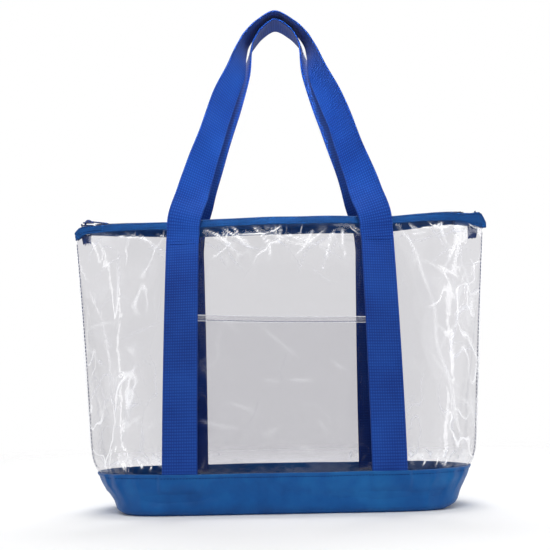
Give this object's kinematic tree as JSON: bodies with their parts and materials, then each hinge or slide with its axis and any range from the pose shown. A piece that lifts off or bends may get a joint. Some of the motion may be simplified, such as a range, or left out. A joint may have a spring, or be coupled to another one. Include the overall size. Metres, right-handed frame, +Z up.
{
  "type": "beach bag",
  "caption": "Clear zip-top beach tote with a blue fabric base and top bands, webbing straps and two carrying loops.",
  "frame": {"origin": "middle of the base, on the surface that it stands on", "axes": "+X to the right along the zip, +Y towards the back face, +Z up"},
  "size_m": [0.4908, 0.1584, 0.5859],
  "materials": {
    "blue_cloth": "coated polyester, soft sheen",
    "webbing": "ribbed polypropylene webbing",
    "clear_film": "glossy clear vinyl film",
    "hem_tape": "clear vinyl folded double, pale along its edges",
    "blue_thread": "matt thread",
    "zip_tape": "woven tape",
    "zip_coil": "nylon coil",
    "zip_metal": "enamelled die-cast metal"
  },
  "bodies": {
    "bag": {"base_bottom": "blue_cloth", "base_front": "blue_cloth", "base_back": "blue_cloth", "front_panel": "clear_film", "back_panel": "clear_film", "side_seam_left": "clear_film", "side_seam_right": "clear_film", "pocket_panel": "clear_film", "pocket_hem": "hem_tape", "front_top_band": "blue_cloth", "back_top_band": "blue_cloth", "front_strap_left": "webbing", "front_strap_right": "webbing", "back_strap_left": "webbing", "back_strap_right": "webbing", "front_strap_stitching": "blue_thread", "back_strap_stitching": "blue_thread", "base_stitching": "blue_thread", "pocket_stitching": "blue_thread", "side_stitching": "blue_thread", "zip_stops": "zip_metal", "zip_end_left": "blue_cloth", "zip_end_right": "blue_cloth", "zip_tail_left": "zip_tape", "zip_tail_right": "zip_tape"},
    "slider": {"zip_slider": "zip_metal"},
    "pull": {"zip_pull": "zip_metal"},
    "front_flap": {"front_zip_panel": "blue_cloth", "front_zip_tape": "zip_tape", "front_zip_coil": "zip_coil"},
    "back_flap": {"back_zip_panel": "blue_cloth", "back_zip_tape": "zip_tape", "back_zip_coil": "zip_coil"},
    "front_loop": {"front_handle": "webbing"},
    "back_loop": {"back_handle": "webbing"}
  },
  "joints": [
    {"name": "zip_slide", "type": "slide", "parent": "bag", "child": "slider", "axis": [1, 0, 0], "range_m": [0, 0.45]},
    {"name": "pull_swing", "type": "hinge", "parent": "slider", "child": "pull", "pos_m": [-0.2275, 0, 0.336], "axis": [0, -1, 0], "range_deg": [0, 165]},
    {"name": "front_flap_turn", "type": "hinge", "parent": "bag", "child": "front_flap", "pos_m": [0, -0.0285, 0.3292], "axis": [1, 0, 0], "range_deg": [0, 70], "deforming": ["front_zip_panel", "front_zip_tape", "front_zip_coil"]},
    {"name": "back_flap_turn", "type": "hinge", "parent": "bag", "child": "back_flap", "pos_m": [0, 0.0285, 0.3292], "axis": [-1, 0, 0], "range_deg": [0, 70], "deforming": ["back_zip_panel", "back_zip_tape", "back_zip_coil"]},
    {"name": "front_handle_swing", "type": "hinge", "parent": "bag", "child": "front_loop", "pos_m": [0, -0.0322, 0.3284], "axis": [1, 0, 0], "range_deg": [0, 155]},
    {"name": "back_handle_swing", "type": "hinge", "parent": "bag", "child": "back_loop", "pos_m": [0, 0.0322, 0.3284], "axis": [-1, 0, 0], "range_deg": [0, 155]}
  ],
  "couplings": [
    {"joint": "front_flap_turn", "follows": "zip_slide", "rad_per_m": 2.71},
    {"joint": "back_flap_turn", "follows": "zip_slide", "rad_per_m": 2.71}
  ]
}
